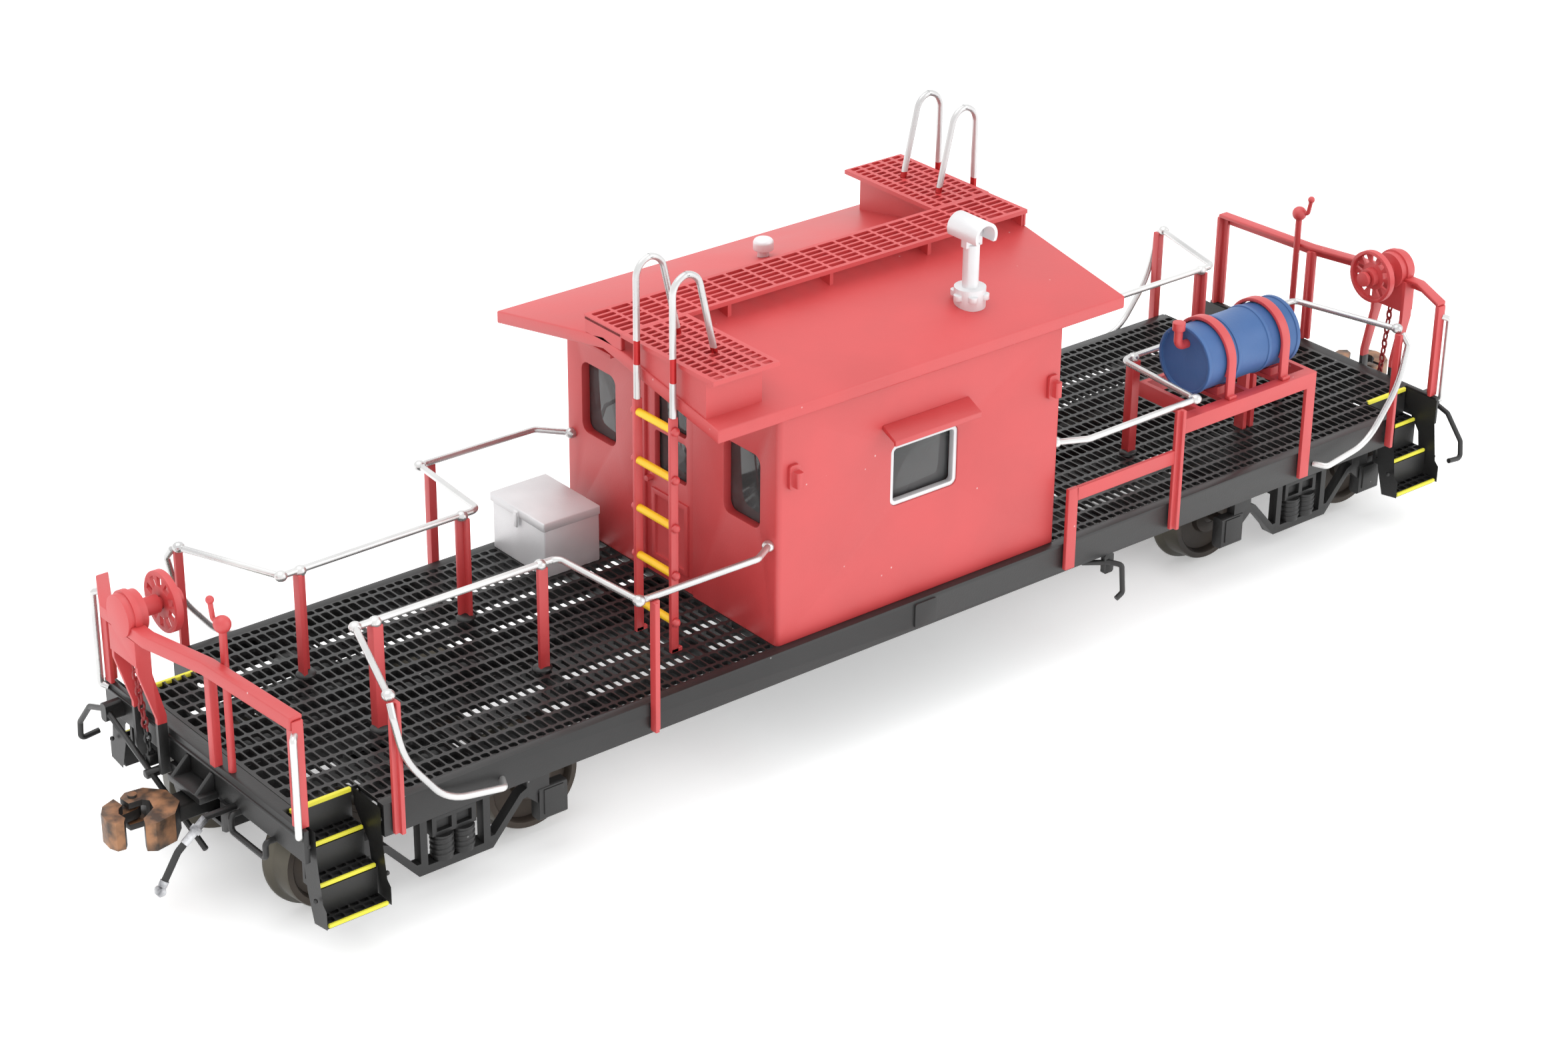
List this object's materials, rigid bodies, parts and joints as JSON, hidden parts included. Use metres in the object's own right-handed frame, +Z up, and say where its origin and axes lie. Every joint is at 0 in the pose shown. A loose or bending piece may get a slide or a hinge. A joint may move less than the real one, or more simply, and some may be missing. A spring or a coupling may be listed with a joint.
{
  "type": "model transfer caboose",
  "caption": "HO-scale railway transfer caboose: small cabin on a long flat frame with railed end platforms, couplers and swivelling trucks.",
  "frame": {"origin": "on the floor under the centre of the car's overall box, between the two trucks", "axes": "+X along the car towards the end with the drum, +Y to the side away from the drum, +Z up"},
  "size_m": [0.1522, 0.0368, 0.0483],
  "materials": {
    "red_paint": "caboose red, satin",
    "black_paint": "satin black",
    "wire": "white painted wire",
    "silver": "silver paint",
    "yellow": "safety yellow",
    "clear": "clear glazing",
    "blue": "drum blue, satin",
    "rust": "rust brown wash",
    "wheel_steel": "turned and weathered",
    "weight": "plain steel",
    "rubber": "matt black"
  },
  "bodies": {
    "car_body": {"air_hoses": "rubber", "awnings": "red_paint", "ballast_weight": "weight", "brake_chains": "red_paint", "brake_stands": "red_paint", "cabin_floor": "black_paint", "cabin_shell": "red_paint", "centre_sill": "black_paint", "corner_grabs": "wire", "cross_bearers": "black_paint", "cut_levers": "black_paint", "deck_a": "black_paint", "deck_b": "black_paint", "draft_boxes": "black_paint", "drum": "blue", "drum_spigot": "red_paint", "drum_stand": "red_paint", "drum_straps": "red_paint", "end_doors": "red_paint", "end_posts": "red_paint", "end_rail_a": "red_paint", "end_rail_b": "red_paint", "end_sills": "black_paint", "handrails_a": "wire", "handrails_b": "wire", "hose_fittings": "silver", "kingpin_screws": "weight", "ladders": "yellow", "lateral_platforms": "red_paint", "marker_brackets": "red_paint", "rail_posts": "red_paint", "roof": "red_paint", "roof_hoops": "wire", "roof_vent": "silver", "running_board": "red_paint", "side_sills": "black_paint", "side_window_frames": "silver", "sill_grab_irons": "black_paint", "smoke_jack": "silver", "step_grabs": "wire", "steps_a": "black_paint", "steps_b": "black_paint", "toolbox_body": "silver", "toolbox_lid": "silver", "valve_pipes": "red_paint", "window_panes": "clear"},
    "truck_a": {"truck_bolster_a": "black_paint", "sideframes_a": "black_paint"},
    "truck_b": {"truck_bolster_b": "black_paint", "sideframes_b": "black_paint"},
    "wheels_a_inner": {"wheelset_a_inner": "wheel_steel"},
    "wheels_a_outer": {"wheelset_a_outer": "wheel_steel"},
    "wheels_b_inner": {"wheelset_b_inner": "wheel_steel"},
    "wheels_b_outer": {"wheelset_b_outer": "wheel_steel"},
    "coupler_a": {"coupler_a": "rust"},
    "coupler_b": {"coupler_b": "rust"},
    "knuckle_a": {"knuckle_a": "rust"},
    "knuckle_b": {"knuckle_b": "rust"},
    "brake_wheel_a": {"brake_wheel_a": "red_paint"},
    "brake_wheel_b": {"brake_wheel_b": "red_paint"}
  },
  "joints": [
    {"name": "truck_a_swivel", "type": "hinge", "parent": "car_body", "child": "truck_a", "pos_m": [-0.0509, 0, 0.0088], "axis": [0, 0, 1], "range_deg": [-6, 6]},
    {"name": "wheels_a_inner_roll", "type": "hinge", "parent": "truck_a", "child": "wheels_a_inner", "pos_m": [-0.041, 0, 0.00545], "axis": [0, 1, 0], "continuous": true},
    {"name": "wheels_a_outer_roll", "type": "hinge", "parent": "truck_a", "child": "wheels_a_outer", "pos_m": [-0.0608, 0, 0.00545], "axis": [0, 1, 0], "continuous": true},
    {"name": "coupler_a_swing", "type": "hinge", "parent": "car_body", "child": "coupler_a", "pos_m": [-0.0636, 0, 0.0086], "axis": [0, 0, 1], "range_deg": [-8, 8], "stiffness_Nm_per_rad": 0.0005},
    {"name": "knuckle_a_open", "type": "hinge", "parent": "coupler_a", "child": "knuckle_a", "pos_m": [-0.0726, 0.0019, 0.0086], "axis": [0, 0, -1], "range_deg": [0, 28], "stiffness_Nm_per_rad": 0.00005},
    {"name": "brake_wheel_a_turn", "type": "hinge", "parent": "car_body", "child": "brake_wheel_a", "pos_m": [-0.0655, 0.007, 0.0236], "axis": [1, 0, 0], "continuous": true},
    {"name": "truck_b_swivel", "type": "hinge", "parent": "car_body", "child": "truck_b", "pos_m": [0.0509, 0, 0.0088], "axis": [0, 0, 1], "range_deg": [-6, 6]},
    {"name": "wheels_b_inner_roll", "type": "hinge", "parent": "truck_b", "child": "wheels_b_inner", "pos_m": [0.041, 0, 0.00545], "axis": [0, 1, 0], "continuous": true},
    {"name": "wheels_b_outer_roll", "type": "hinge", "parent": "truck_b", "child": "wheels_b_outer", "pos_m": [0.0608, 0, 0.00545], "axis": [0, 1, 0], "continuous": true},
    {"name": "coupler_b_swing", "type": "hinge", "parent": "car_body", "child": "coupler_b", "pos_m": [0.0636, 0, 0.0086], "axis": [0, 0, 1], "range_deg": [-8, 8], "stiffness_Nm_per_rad": 0.0005},
    {"name": "knuckle_b_open", "type": "hinge", "parent": "coupler_b", "child": "knuckle_b", "pos_m": [0.0726, -0.0019, 0.0086], "axis": [0, 0, -1], "range_deg": [0, 28], "stiffness_Nm_per_rad": 0.00005},
    {"name": "brake_wheel_b_turn", "type": "hinge", "parent": "car_body", "child": "brake_wheel_b", "pos_m": [0.0655, -0.007, 0.0236], "axis": [1, 0, 0], "continuous": true}
  ]
}
